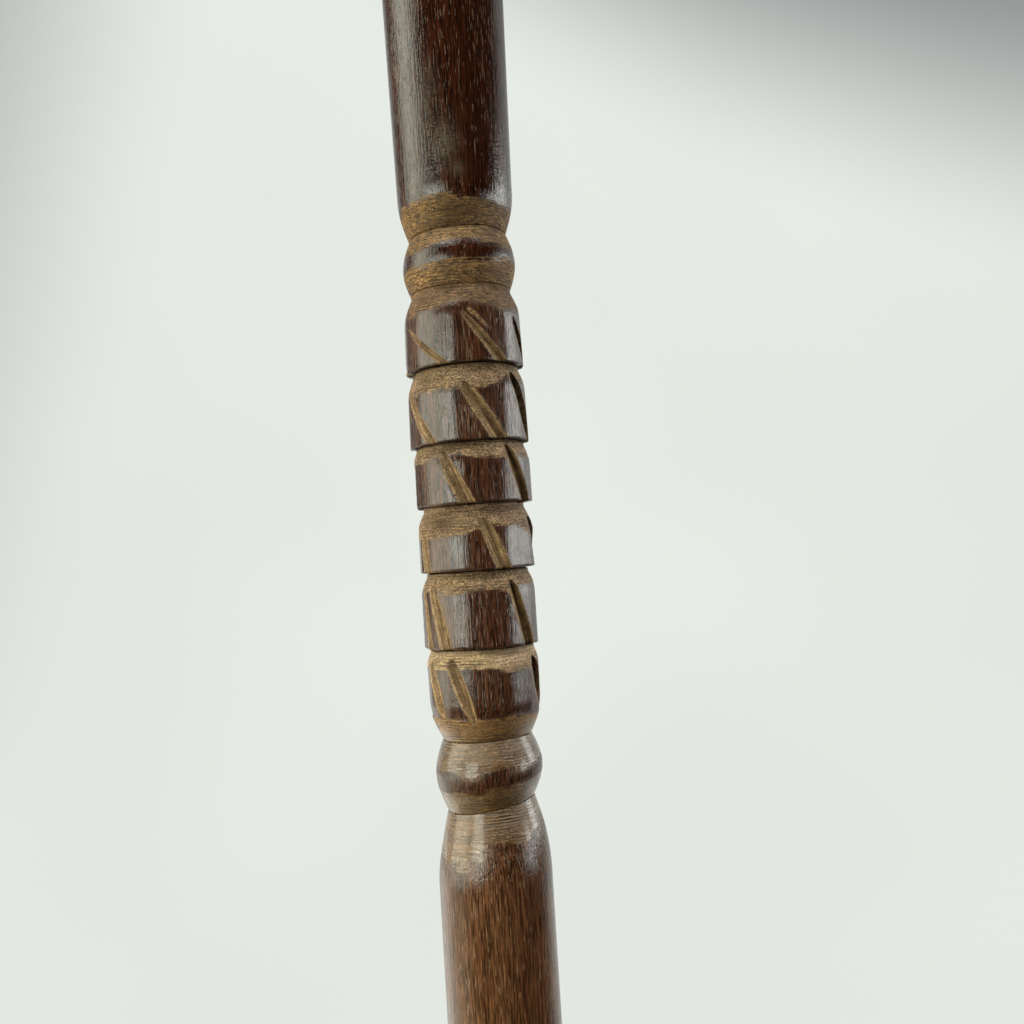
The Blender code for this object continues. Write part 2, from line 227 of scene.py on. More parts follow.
# How the raw wood's colour changes down the shaft: (drop, red, green, blue), as factors. They are partly the
# wood's own colour and partly painted light: the last band's up-facing chamfer, from 149.2 to 151, is
# painted much lighter, as if lit from above.
TONES_AND_LIGHT = [
    (102.0, 0.92, 0.78, 0.50), (105.7, 0.90, 0.78, 0.48), (105.9, 0.90, 0.82, 0.68),
    (108.0, 0.90, 0.82, 0.68), (109.2, 0.95, 0.82, 0.52), (111.7, 0.95, 0.82, 0.52),
    (111.9, 0.70, 0.62, 0.56), (114.5, 0.70, 0.62, 0.56), (120.0, 1.15, 1.17, 1.15),
    (140.0, 1.20, 1.20, 1.20), (148.0, 1.25, 1.28, 1.35), (149.2, 1.90, 2.05, 2.20),
    (151.0, 1.90, 2.05, 2.20), (156.0, 1.25, 1.05, 0.68), (158.2, 1.30, 1.10, 0.70),
    (158.4, 0.66, 0.56, 0.38), (162.0, 0.68, 0.56, 0.38), (165.0, 0.80, 0.68, 0.46),
    (165.3, 0.70, 0.57, 0.36), (170.0, 0.78, 0.64, 0.42),
]


def rng(name):
    """A random stream of its own for each named thing, so one change doesn't shift the others."""
    return np.random.default_rng(sum(ord(c) * (i + 1) for i, c in enumerate(name)))


def shares(count):
    return np.arange(1, count + 1) / count


def rounded_in(start, end, rows):
    """Leaves start along the shaft and curves in to end."""
    t = shares(rows)
    drops = start[0] + (end[0] - start[0]) * t
    return list(zip(drops, end[1] + (start[1] - end[1]) * np.cos(np.pi / 2 * t)))


def rounded_out(start, end, rows):
    """Leaves start steeply and runs out along the shaft at end."""
    t = shares(rows)
    drops = start[0] + (end[0] - start[0]) * t
    return list(zip(drops, start[1] + (end[1] - start[1]) * np.sin(np.pi / 2 * t)))


def bead(start, end, radius, rows):
    """A round bead between two necks."""
    t = shares(rows)
    rise = radius - (start[1] + end[1]) / 2
    drops = start[0] + (end[0] - start[0]) * t
    return list(zip(drops, start[1] + (end[1] - start[1]) * t + rise * np.sin(np.pi * t)))


def straight(start, end, rows):
    return [(start[0] + (end[0] - start[0]) * s, start[1] + (end[1] - start[1]) * s) for s in shares(rows)]


def band_outline(band, last):
    """A band from the knife line at its neck, over its chamfer and down its wall to the lip."""
    shoulder, edge = (band.shoulder, band.shoulder_r), (band.lip - LIP_ROUND, band.lip_r)
    neck = [(band.neck, band.neck_r), (band.neck + NECK_FLAT[0], band.neck_r + NECK_FLAT[1])]
    chamfer = rounded_out(neck[-1], shoulder, round((band.shoulder - band.neck) / CHAMFER_STEP))
    wall = straight(shoulder, edge, round((edge[0] - shoulder[0]) / WALL_STEP))
    if last:
        return neck + chamfer + wall + [(band.lip, band.lip_r)]
    under = [(band.lip + down, band.lip_r - inside) for down, inside in LIP_EDGE]
    under += [(band.lip + UNDERCUT_DROP, band.neck_r - KNIFE_CUT)]
    return neck + chamfer + wall + under


def knife_line(neck):
    """A knife line in a neck, and the neck again just below it."""
    drop, radius = neck
    return [(drop + KNIFE_HALF, radius - KNIFE_CUT), (drop + 2 * KNIFE_HALF, radius)]


def shaft_outline():
    """The shaft's outside as (drop, radius) in millimetres, from its top edge to the rim of its tip."""
    outline = [(down, TENON_TOP_R - inside) for down, inside in TENON_EDGE]
    outline += straight(outline[-1], (SHOULDER_DROP, TENON_FOOT_R), rows=12)
    outline += [(SHOULDER_DROP + down, SHOULDER_R - inside) for down, inside in SHOULDER_EDGE]
    outline += straight(outline[-1], UPPER_MIDDLE, rows=36)
    outline += straight(outline[-1], UPPER_END, rows=18)
    outline += rounded_in(UPPER_END, TOP_NECK, rows=30)
    outline += knife_line(TOP_NECK)
    first_neck = (BANDS[0].neck, BANDS[0].neck_r)
    outline += bead(outline[-1], first_neck, TOP_BEAD_R, rows=40)[:-1]
    outline += [(first_neck[0] - KNIFE_HALF, first_neck[1] - FAINT_CUT)]
    for band in BANDS:
        outline += band_outline(band, last=band is BANDS[-1])
    outline += rounded_in(outline[-1], FOOT_NECK, rows=26)
    outline += knife_line(FOOT_NECK)
    outline += bead(outline[-1], LOWER_NECK, FOOT_BEAD_R, rows=44)
    outline += knife_line(LOWER_NECK)
    outline += rounded_out(outline[-1], LOWER_START, rows=48)
    outline += straight(LOWER_START, LOWER_MIDDLE, rows=24)
    outline += straight(outline[-1], TAPER_START, rows=18)
    outline += straight(TAPER_START, TIP_ROUND, rows=20)
    length = (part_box("shaft")[1].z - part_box("shaft")[0].z) / MM
    outline += rounded_in(TIP_ROUND, (length, TIP_FLAT_R), rows=16)
    return np.array(outline)


def gouge_foot(band):
    return LAST_GOUGE_FOOT if band is BANDS[-1] else band.lip + UNDERCUT_DROP


def spiral_angles(drops):
    """Where each of the six gouge lines crosses each drop, in radians, as rows by lines."""
    found = []
    for line in range(LINES):
        at, angle = [], []
        for band, gouges in zip(BANDS, GOUGES):
            at += [gouges[line].drop, gouge_foot(band)]
            angle += [gouges[line].start, gouges[line].end]
        found.append(np.radians(np.interp(drops, at, angle)))
    return np.stack(found, 1)


def gouge_sizes(drops):
    """Each gouge's depth and half angle at each drop, as rows by lines. A gouge sinks in over its first
    millimetre or so and runs out through the lip; the last band's fade out."""
    depth = np.zeros((len(drops), LINES))
    half = np.full((len(drops), LINES), np.radians(CLOSED_HALF_DEG))
    for band, gouges in zip(BANDS, GOUGES):
        last = band is BANDS[-1]
        sink_over = FIRST_SINK if band is BANDS[0] else SINK
        foot = gouge_foot(band)
        on = (drops >= band.neck) & (drops <= foot)
        fade = np.clip((foot - drops) / LAST_FADE, 0, 1) ** 0.5 if last else np.ones_like(drops)
        for line, gouge in enumerate(gouges):
            down = drops - gouge.drop
            share = np.clip(down / (foot - gouge.drop), 0, 1)
            width = gouge.fine + (gouge.wide - gouge.fine) * share**0.7
            width *= 1 + (LAST_BELLY if last else BELLY) * np.sin(np.pi * share)
            width *= 0.45 + 0.55 * np.clip(down / OPENING, 0, 1) ** 0.5
            width *= 0.4 + 0.6 * fade
            depth[on, line] = (gouge.depth * np.clip(down / sink_over, 0, 1) ** 0.6 * fade)[on]
            half[on, line] = np.radians(width)[on]
    return depth, half


def waves(angle, name, orders=5):
    """Unsteady hand work round the shaft: a smooth periodic function of the angle, about -1 to 1."""
    pick = rng(name)
    total = np.zeros_like(angle)
    for order in range(1, orders + 1):
        total += pick.normal() / order**0.6 * np.sin(order * angle + pick.uniform(0, 2 * np.pi))
    return total / 1.9


def in_degrees(angle):
    """Angles in radians as degrees from -180 to 180."""
    return np.degrees(np.mod(angle + np.pi, 2 * np.pi) - np.pi)


def line_drop(keys, angle, name):
    """The drop of one boundary line at each angle. It runs on evenly round the far side."""
    if len(keys) == 1:
        return np.full_like(angle, keys[0][1])
    middle = (keys[0][1] + keys[-1][1]) / 2
    left = [(-180, middle), (-FAR_SIDE_DEG, middle + FAR_SIDE_SHIFT)]
    right = [(FAR_SIDE_DEG, middle - FAR_SIDE_SHIFT), (180, middle)]
    at, drop = zip(*left, *keys, *right)
    fine = np.arange(-180, 181, 2.0)
    smooth = np.interp(fine, at, drop)
    for _ in range(2):
        smooth[1:-1] = (smooth[:-2] + 2 * smooth[1:-1] + smooth[2:]) / 4
    return np.interp(in_degrees(angle), fine, smooth) + RAW_WAVE * waves(angle * 2, name, 7)


def facets(angle, arrises, name):
    """Flats round a band, as a share of the radius to take off: 0 at the arrises between flats."""
    far = np.arange(arrises[-1] + 26, arrises[0] + 360 - 14, FAR_FLAT_DEG)
    far = far + rng(name).uniform(-FAR_FLAT_UNEVEN, FAR_FLAT_UNEVEN, len(far))
    edges = np.radians(np.concatenate([arrises, far]))
    turned = np.mod(angle - edges[0], 2 * np.pi) + edges[0]
    at = np.searchsorted(edges, turned, side="right") - 1
    low = edges[at]
    high = np.append(edges[1:], edges[0] + 2 * np.pi)[at]
    half = (high - low) / 2
    return 1 - np.cos(half) / np.cos(turned - (low + high) / 2)


def smoothstep(low, high, value):
    t = np.clip((value - low) / (high - low), 0, 1)
    return t * t * (3 - 2 * t)


def shaft_columns(drops):
    """The columns of the shaft's mesh: their angles, and each one's place across its gouge from -1 at
    one edge to 1 at the other, or outside that between gouges. Also how deep the gouge is there."""
    centre = spiral_angles(drops)
    depth, half = gouge_sizes(drops)
    there = depth > 0.02
    across = np.linspace(-1, 1, GOUGE_COLUMNS + 1)
    between = shares(WALL_COLUMNS)[:-1]
    left, right = (across + 1) / (GOUGE_VALLEY + 1), (1 - across) / (1 - GOUGE_VALLEY)
    valley = np.where(across < GOUGE_VALLEY, left**1.1, right**0.8)
    angles, place, cut = [], [], []
    for line in range(LINES):
        after = (line + 1) % LINES
        turn = 2 * np.pi if after == 0 else 0.0
        c, h = centre[:, line, None], half[:, line, None]
        c_next, h_next = centre[:, after, None] + turn, half[:, after, None]
        angles.append(c + h * across)
        place.append(np.where(there[:, line, None], across, NOWHERE))
        cut.append(depth[:, line, None] * valley)
        span = (c_next - h_next) - (c + h)
        angles.append(c + h + span * between)
        back = np.where(there[:, line, None], span * between / h, NOWHERE)
        on = np.where(there[:, after, None], span * (1 - between) / h_next, NOWHERE)
        place.append(1 + np.minimum(back, on))
        cut.append(np.zeros_like(span * between))
    return np.hstack(angles), np.hstack(place), np.hstack(cut)


def raw_distance(drop, angle):
    """How far inside raw wood a point is, in millimetres, negative on polished wood."""
    found = np.full_like(drop, OUTSIDE)
    for k, ((upper, lower), (upper_crisp, lower_crisp)) in enumerate(zip(RAW_ZONES, RAW_CRISP)):
        below_upper = (drop - line_drop(upper, angle, f"raw_upper_{k}")) * upper_crisp
        above_lower = (line_drop(lower, angle, f"raw_lower_{k}") - drop) * lower_crisp
        found = np.maximum(found, np.minimum(below_upper, above_lower))
    return found


def patches(places, drop, angle):
    """Soft spots on the shaft, each as strong as its own entry says at its middle."""
    degrees = in_degrees(angle)
    found = np.zeros_like(drop)
    for at, drop_at, wide, tall, strength in places:
        away = ((degrees - at) / wide) ** 2 + ((drop - drop_at) / tall) ** 2
        found = np.maximum(found, strength * np.exp(-away))
    return found


def nick_distance(drop, angle, radius):
    """How far inside a stray nick a point is, in millimetres. A nick narrows towards its second end."""
    found = np.full_like(drop, OUTSIDE)
    turned = np.mod(angle + np.pi, 2 * np.pi) - np.pi
    for (start, drop_start), (end, drop_end), half in NICKS:
        along = np.array([math.radians(end - start) * UPPER_END[1], drop_end - drop_start])
        off = np.stack([(turned - math.radians(start)) * radius, drop - drop_start])
        share = np.clip((off[0] * along[0] + off[1] * along[1]) / (along @ along), 0, 1)
        away = np.hypot(off[0] - share * along[0], off[1] - share * along[1])
        found = np.maximum(found, half * (1.15 - share * 0.6) - away)
    return found


def shade_and_dirt_at(drops, nominal, angle, place, in_gouge):
    """How dark each point is: painted shade in knife lines and, where a gouge says so, in that gouge, where
    the wood is also a little dirty; and darker patches.
    """
    found = patches(DARK_PATCHES, nominal, angle)
    for at, reach, strength in KNIFE_LINE_SHADE:
        found = np.maximum(found, strength * np.exp(-(((nominal - at) / reach) ** 2)))
    for band, gouges in zip(BANDS, GOUGES):
        rows = (drops > gouges[0].drop - 1.5) & (drops < gouge_foot(band))
        for line, gouge in enumerate(gouges):
            first = line * (GOUGE_COLUMNS + WALL_COLUMNS)
            at = slice(first, first + GOUGE_COLUMNS + 1)
            # A deep gouge is darkened with painted shade in its steep cut, and it is a little dirty too.
            side = ALL_SHADED if gouge.dirt == 1.0 else STEEP_SIDE_SHADED
            deep = gouge.dirt * smoothstep(*side, place[:, at]) * in_gouge[:, at]
            found[:, at] = np.maximum(found[:, at], np.where(rows[:, None], deep, 0))
    return found


def shaft_wobble(drop, angle):
    """How far hand work shifts each line along the shaft, in millimetres."""
    at = np.array([anchor[0] for anchor in WOBBLE])
    shifts = [-lean * np.sin(angle) + wave * waves(angle, f"lip_{d}") for d, lean, wave in WOBBLE]
    shifts = np.stack(shifts)
    place = np.clip(np.searchsorted(at, drop[:, 0], side="right") - 1, 0, len(at) - 2)
    share = np.clip((drop[:, 0] - at[place]) / (at[place + 1] - at[place]), 0, 1)[:, None]
    rows = np.arange(len(drop))
    return shifts[place, rows] * (1 - share) + shifts[place + 1, rows] * share


def shaft_surface():
    """The shaft's outside: points as rows by columns, and what its wood is like at each of them."""
    outline = shaft_outline()
    drops, radii = outline[:, 0], outline[:, 1]
    angle, place, cut = shaft_columns(drops)
    nominal = np.repeat(drops[:, None], angle.shape[1], 1)
    radius = np.repeat(radii[:, None], angle.shape[1], 1)
    for k, band in enumerate(BANDS):
        foot = band.lip + (1.5 if band is BANDS[-1] else 0.02)
        on = smoothstep(band.shoulder - 1.6, band.shoulder - 0.1, nominal) * (nominal <= foot)
        radius -= on * FLATNESS * facets(angle, ARRISES[k], f"flats_{k}") * radius
    carved = smoothstep(100.0, 103.0, nominal) * (1 - smoothstep(170.0, 176.0, nominal))
    radius += carved * HAND_WAVE * waves(angle * 2, "hand", 4)
    radius -= cut
    drop = nominal + shaft_wobble(nominal, angle)
    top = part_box("shaft")[1].z / MM
    points = np.stack([radius * np.sin(angle), -radius * np.cos(angle), top - drop], -1) * MM

    filed = raw_distance(nominal, angle)
    in_gouge = np.clip(cut / 0.12, 0, 1)
    gouged = (1 - np.abs(place)) * np.radians(GOUGE_HALF_DEG) * radius + 0.05
    nicked = nick_distance(nominal, angle, radius)
    tones_and_light = np.array(TONES_AND_LIGHT)
    return points, {
        "raw_mm": np.maximum.reduce([filed, gouged, nicked]),
        "filed": smoothstep(-0.3, 0.3, filed),
        "across": np.clip(place, -1, 1),
        "in_gouge": in_gouge,
        "painted_shade_and_dirt": shade_and_dirt_at(drops, nominal, angle, place, in_gouge),
        "haze": patches(HAZE_PATCHES, nominal, angle),
        "dull": np.where(nominal <= SHOULDER_DROP, 0.5, 0.0),
        "tone_and_light": np.stack([np.interp(nominal, tones_and_light[:, 0], tones_and_light[:, k]) for k in (1, 2, 3)], -1),
    }


# ---------------------------------------------------------------- meshes


def skin(name, points, facts=None, pole_top=None, pole_foot=None, closed=False, sharp_deg=32):
    """One closed mesh through rows of points that run round +Z. The rows go out over the top and down
    the outside. Both poles close its ends, or closed joins the last row to the first, as in a bore."""
    rows, columns = points.shape[:2]
    vertices = points.reshape(-1, 3)
    index = np.arange(rows * columns).reshape(rows, columns)
    lower = np.roll(index, -1, 0) if closed else index[1:]
    upper = index if closed else index[:-1]
    quads = np.stack([upper, lower, np.roll(lower, -1, 1), np.roll(upper, -1, 1)], -1).reshape(-1, 4)
    faces = quads.tolist()
    poles = [pole for pole in (pole_top, pole_foot) if pole is not None]
    if poles:
        vertices = np.vstack([vertices, np.array(poles)])
        tip = rows * columns
        faces += [[tip, a, b] for a, b in zip(index[0].tolist(), np.roll(index[0], -1).tolist())]
        faces += [[tip + 1, b, a] for a, b in zip(index[-1].tolist(), np.roll(index[-1], -1).tolist())]
    mesh = bpy.data.meshes.new(name)
    mesh.from_pydata(vertices.tolist(), [], faces)
    for fact, values in (facts or {}).items():
        kind = "FLOAT" if values.ndim == 2 else "FLOAT_VECTOR"
        stored = mesh.attributes.new(fact, kind, "POINT")
        flat = values.reshape(rows * columns, -1)
        flat = np.vstack([flat] + [flat[-1:]] * len(poles)).astype(np.float32)
        stored.data.foreach_set("value" if kind == "FLOAT" else "vector", flat.reshape(-1))
    mesh.shade_smooth()
    mesh.set_sharp_from_angle(angle=math.radians(sharp_deg))
    made = bpy.data.objects.new(name, mesh)
    bpy.context.scene.collection.objects.link(made)
    return made


def ring(radius, angles, z):
    return np.stack([radius * np.sin(angles), -radius * np.cos(angles), np.full_like(angles, z)], -1)


def make_shaft():
    points, facts = shaft_surface()
    angles = np.arctan2(points[0, :, 0], -points[0, :, 1])
    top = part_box("shaft")[1].z
    bottom = top - PILOT_DEPTH * MM
    hole = np.stack([ring(PILOT_R * MM, angles, z) for z in (bottom, top - PILOT_CHAMFER * MM)])
    mouth = ring((PILOT_R + PILOT_CHAMFER) * MM, angles, top)[None]
    points = np.concatenate([hole, mouth, points])
    facts = {k: np.vstack([np.repeat(v[:1], 3, 0), v]) for k, v in facts.items()}
    foot = Vector((0, 0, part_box("shaft")[0].z))
    return skin("carved_shaft", points, facts, Vector((0, 0, bottom)), foot)


# ---------------------------------------------------------------- the whorl

WHORL_R = 35.0
HUB_TOP = 15.0
BORE_TOP_R, BORE_FOOT_R = 5.49, 5.64
RIM_GOUGES = 24
RIM_GOUGE_HALF_DEG = 1.9
RIM_GOUGE_SLANT_DEG = 9.5
RIM_GOUGE_DEPTH = 0.7
RIM_WALL_FOOT = 1.3
RIM_WALL_TOP = 7.0
NOTCH_DEPTH = 2.6
GROOVE_HALF, GROOVE_DEPTH = 0.35, 0.3


def arc(middle, radius, start, end, rows):
    """Points round a middle, from start to end in degrees."""
    turn = np.radians(np.linspace(start, end, rows))
    return list(zip(middle[0] + radius * np.cos(turn), middle[1] + radius * np.sin(turn)))


def groove(radius, height):
    """A turned groove round the whorl's top."""
    floor = height - GROOVE_DEPTH
    inner, outer = radius - GROOVE_HALF * 0.25, radius + GROOVE_HALF * 0.25
    return [(radius - GROOVE_HALF, height), (inner, floor), (outer, floor), (radius + GROOVE_HALF, height)]


def whorl_outline():
    """(radius, height above the underside) in millimetres, out over the top, down the rim and in under."""
    outline = [(BORE_TOP_R, 14.7)] + arc((BORE_TOP_R + 0.3, 14.7), 0.3, 180, 90, 4)
    outline += [(8.0, HUB_TOP)] + groove(9.2, HUB_TOP)
    outline += arc((10.6, 13.6), 1.4, 90, 0, 10)
    outline += arc((15.6, 13.4), 3.6, 180, 262, 12)
    outline += arc((17.9, 9.6), 1.35, 130, 50, 10)
    outline += [(20.2, 10.15), (24.8, 9.72)] + groove(25.5, 9.66) + groove(26.9, 9.5)
    outline += [(30.0, 9.2), (30.5, 8.75), (30.8, 8.55), (31.0, 8.55), (31.35, 9.1)]
    rim_edge = (RIM_WALL_TOP, WHORL_R - 0.2)
    rim = rounded_out((9.35, 31.5), rim_edge, 16) + straight(rim_edge, (RIM_WALL_FOOT, WHORL_R), 24)
    outline += [(radius, height) for height, radius in rim]
    outline += [(WHORL_R - 0.08, RIM_WALL_FOOT - 0.1), (WHORL_R - 0.9, RIM_WALL_FOOT - 0.12)]
    outline += [(WHORL_R - 1.25, RIM_WALL_FOOT - 0.2)]
    outline += arc((WHORL_R - 2.0, 0.75), 0.75, 0, -90, 7)
    outline += [(30.0, 0.0), (22.0, 0.0), (14.0, 0.0), (8.3, 0.0), (8.1, 0.2), (8.1, 0.5)]
    outline += [(BORE_FOOT_R + 0.2, 0.5), (BORE_FOOT_R, 0.7)]
    narrowing = BORE_TOP_R - BORE_FOOT_R
    outline += [(BORE_FOOT_R + narrowing * s, 0.7 + 14.0 * s) for s in (0.25, 0.5, 0.75)]
    return np.array(outline)


def whorl_columns(radii, heights):
    """The columns of the whorl's mesh: their angles, how deep its rim is cut there, and how far inside
    raw wood that is. The first cut is the yarn's notch, and the others are gouges."""
    lean = np.where(radii > 24, np.clip((4.1 - heights) / 2.9, -1, 1), 0)
    wall = (radii > 33.0) & (heights > 1.15)
    reach = (np.clip((radii - 32.6) / 2.2, 0, 1) * wall)[:, None]
    half, slant = np.radians(RIM_GOUGE_HALF_DEG), np.radians(RIM_GOUGE_SLANT_DEG) / 2
    step = 2 * np.pi / RIM_GOUGES
    jitter = rng("rim").uniform(-0.02, 0.02, RIM_GOUGES) * (np.arange(RIM_GOUGES) > 0)
    across = np.linspace(-1, 1, 9)
    between = shares(6)[:-1]

    def centre(k):
        turn, k = divmod(k, RIM_GOUGES)
        base = np.pi / 2 + step * k + jitter[k] + 2 * np.pi * turn
        return (base + slant * lean * (k > 0))[:, None]

    angles, cuts, inside = [], [], []
    for k in range(RIM_GOUGES):
        c, after = centre(k), centre(k + 1)
        angles.append(c + half * across)
        if k == 0:
            past_notch = np.clip(radii - (WHORL_R - NOTCH_DEPTH), 0, NOTCH_DEPTH)[:, None]
            cut = past_notch * (1 - np.abs(across) ** 2.5)
        else:
            cut = RIM_GOUGE_DEPTH * reach * (1 - np.abs(across))
        cuts.append(cut)
        inside.append(np.where(cut > 0.02, (1 - np.abs(across)) * 1.1 + 0.1, OUTSIDE))
        span = after - c - 2 * half
        angles.append(c + half + span * between)
        cuts.append(np.zeros_like(span * between))
        inside.append(np.full_like(span * between, OUTSIDE))
    return np.hstack(angles), np.hstack(cuts), np.hstack(inside)


def whorl_surface():
    """The whorl's skin: points as rows by columns, and what its wood is like at each of them."""
    outline = whorl_outline()
    radii, heights = outline[:, 0], outline[:, 1]
    outer = np.arange(len(radii)) >= np.argmax(radii > 31.2)
    angle, cut, inside = whorl_columns(radii, heights)
    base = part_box("whorl")[0].z / MM
    height = np.repeat(heights[:, None], angle.shape[1], 1)
    radius = np.repeat(radii[:, None], angle.shape[1], 1) - cut
    points = np.stack([radius * np.sin(angle), -radius * np.cos(angle), base + height], -1) * MM
    chamfer = height - 7.4 + 0.22 * waves(angle * 3, "rim_raw", 6)
    chamfer = np.where(outer[:, None] & (radius >= 31.1), chamfer, OUTSIDE)
    under = np.where((height < 1.25) & (radius > 32.6), 0.4, OUTSIDE)
    nothing = np.zeros_like(height)
    return points, {
        "raw_mm": np.maximum.reduce([chamfer, under, inside]),
        "filed": smoothstep(-0.3, 0.3, np.maximum(chamfer, under)),
        "across": nothing,
        "in_gouge": np.clip(cut / 0.2, 0, 1),
        "painted_shade_and_dirt": nothing,
        "haze": nothing,
        "dull": np.where(height < 1.0, 1.0, 0.0),
        "tone_and_light": np.ones(height.shape + (3,)),
    }


def make_whorl():
    points, facts = whorl_surface()
    return skin("turned_whorl", points, facts, closed=True)


# ---------------------------------------------------------------- the hook and its collar

WIRE_R = 0.85
CROOK_INNER_R = 3.5
CROOK_END_DEG = -32
FILLET_R = 1.6
THREAD_PITCH = 0.9
THREAD_DEPTH = 0.2
THREAD_TOP = (0.6, 2.2)   # how far below the shaft's top the thread starts and is full
SCREW_POINT = 2.4         # how long the screw's point is
END_ROUND = 0.7           # and the rounded end of the crook
COLLAR_BORE_R = 1.15
COLLAR_EDGE_R = 0.36
COLLAR_BEVEL = 0.12


def hook_path():
    """The wire's centre line as (x, z) in millimetres, from its screw point to the end of its crook."""
    crook_r, centre_z = CROOK_INNER_R + WIRE_R, -CROOK_INNER_R
    fillet_z = centre_z - math.sqrt(crook_r**2 + 2 * crook_r * FILLET_R)
    joined = math.atan2(fillet_z - centre_z, -FILLET_R) + 2 * np.pi
    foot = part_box("hook")[0].z / MM
    path = [(0.0, z) for z in np.arange(foot, fillet_z, THREAD_PITCH / 10)]
    for turn in np.linspace(0, joined - np.pi, 24):
        path.append((FILLET_R * (math.cos(turn) - 1), fillet_z + FILLET_R * math.sin(turn)))
    for turn in np.linspace(joined, math.radians(CROOK_END_DEG), 110)[1:]:
        path.append((crook_r * math.cos(turn), centre_z + crook_r * math.sin(turn)))
    return np.array(path)


def make_hook():
    path = hook_path()
    ahead = np.gradient(path, axis=0)
    ahead /= np.linalg.norm(ahead, axis=1)[:, None]
    side_x, side_z = ahead[:, 1, None], -ahead[:, 0, None]
    steps = np.linalg.norm(np.diff(path, axis=0), axis=1)
    length = np.concatenate([[0], np.cumsum(steps)])[:, None]
    turns = np.linspace(0, 2 * np.pi, 32, endpoint=False)
    x, z = path[:, 0, None], path[:, 1, None]
    shaft_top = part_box("shaft")[1].z / MM
    threaded = smoothstep(shaft_top - THREAD_TOP[0], shaft_top - THREAD_TOP[1], z)
    ridge = np.abs(np.mod(z / THREAD_PITCH - turns / (2 * np.pi), 1.0) - 0.5) * 2
    point_taper = np.clip((length + 0.35) / SCREW_POINT, 0, 1) ** 0.8
    from_end = 1 - np.clip((length[-1] - length) / END_ROUND, 0, 1)
    end_taper = np.sqrt(np.clip(1 - from_end**2, 0.02, 1))
    radius = (WIRE_R - THREAD_DEPTH * threaded * ridge) * point_taper * end_taper
    out = radius * np.cos(turns)
    points = np.stack([x + out * side_x, radius * np.sin(turns), z + out * side_z], -1)[::-1] * MM
    ends = [Vector((p[0] * MM, 0, p[1] * MM)) for p in (path[-1], path[0])]
    return skin("brass_hook", points, None, ends[0], ends[1], sharp_deg=40)


def make_collar():
    low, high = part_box("hook_collar")
    outer, tall = high.x / MM, (high.z - low.z) / MM
    lip = COLLAR_BORE_R + COLLAR_BEVEL
    flat = outer - 0.45 - COLLAR_BORE_R
    outline = [(COLLAR_BORE_R, tall - COLLAR_BEVEL), (lip, tall)]
    outline += [(lip + flat * s, tall - 0.10 * s**2) for s in (0.25, 0.5, 0.75, 1.0)]
    turn = np.radians(np.linspace(70, -90, 10))
    edge_heights = COLLAR_EDGE_R + 0.40 * np.sin(turn) + 0.04
    outline += list(zip(outer - COLLAR_EDGE_R + COLLAR_EDGE_R * np.cos(turn), edge_heights))
    outline += [(COLLAR_BORE_R + 0.6, 0.0), (COLLAR_BORE_R, 0.05)]
    angles = np.linspace(0, 2 * np.pi, 72, endpoint=False)
    rows = [ring(radius * MM, angles, low.z + max(height, 0.0) * MM) for radius, height in outline]
    return skin("brass_collar", np.stack(rows), None, closed=True)


# ---------------------------------------------------------------- materials

LIGHTER_WOOD_Z = (-0.176, -0.194)    # heights in metres: the shaft's wood is a lighter brown below these
DARKER_WOOD_Z = (-0.130, -0.122)     # and a darker one above these
LINED_RAW_Z = (-0.133, -0.131)       # above these, and on the smoother raw wood, the file leaves lines
FINER_RAW_Z = (-0.154, -0.163)       # its flecks are fainter below these
SMOOTHER_RAW_Z = (-0.170, -0.174)    # raw wood is filed smoother below these
FILE_PITCH = 0.00029                 # the file's strokes on raw wood, in metres
FILE_WANDER = 16.0                   # how far they wander, in radians of that pitch
RELIEF_DEPTH = 0.0001                # the bumps of raw wood, in metres
SHEEN_DEPTH = 0.00003                # and those in the polish
SCRATCH_DEPTH = 0.000004             # scratches in brass, in metres


def rgb(red, green, blue):
    return (red, green, blue, 1.0)


# Colours, as linear light. The polished wood has its LOWER_ pair below LIGHTER_WOOD_Z, and is multiplied
# by UPPER_FACTOR above DARKER_WOOD_Z.
WOOD_DARK, WOOD_LIGHT = rgb(0.036, 0.0125, 0.0070), rgb(0.082, 0.0300, 0.0145)
LOWER_DARK, LOWER_LIGHT = rgb(0.067, 0.0245, 0.0100), rgb(0.141, 0.060, 0.0250)
UPPER_FACTOR = rgb(0.56, 0.385, 0.31)
HAIR_LINE, PALE_PORE = rgb(0.018, 0.007, 0.004), rgb(0.40, 0.26, 0.135)
RAW_YELLOW, RAW_RED = rgb(0.276, 0.172, 0.080), rgb(0.304, 0.182, 0.104)
RAW_MOTTLE, RAW_FIBRE = rgb(0.135, 0.078, 0.038), rgb(0.42, 0.315, 0.200)
FRESH_PALE, FRESH_DARK = rgb(0.56, 0.375, 0.180), rgb(0.30, 0.188, 0.088)
FRESH_CUT = rgb(0.105, 0.055, 0.024)
FILE_STROKE = rgb(0.065, 0.038, 0.020)
DARK_SPECK, PALE_SPECK = rgb(0.045, 0.026, 0.014), rgb(0.80, 0.64, 0.36)
# The second colour is painted shade in knife lines and gouges, where the wood is also a little dirty.
HAZE, DIRT_AND_SHADE = rgb(0.130, 0.110, 0.080), rgb(0.018, 0.014, 0.009)
TARNISH = rgb(0.33, 0.20, 0.08)
PAPER_DIM, PAPER_BRIGHT = rgb(0.725, 0.760, 0.716), rgb(0.776, 0.812, 0.766)
# Painted shade that greys the back half's two upper corners of the backdrop.
PAPER_LEFT_SHADE, PAPER_RIGHT_SHADE = rgb(0.33, 0.35, 0.34), rgb(0.235, 0.255, 0.26)
PAPER_BASE = rgb(0.05, 0.05, 0.05)
ROOM = rgb(0.036, 0.025, 0.014)


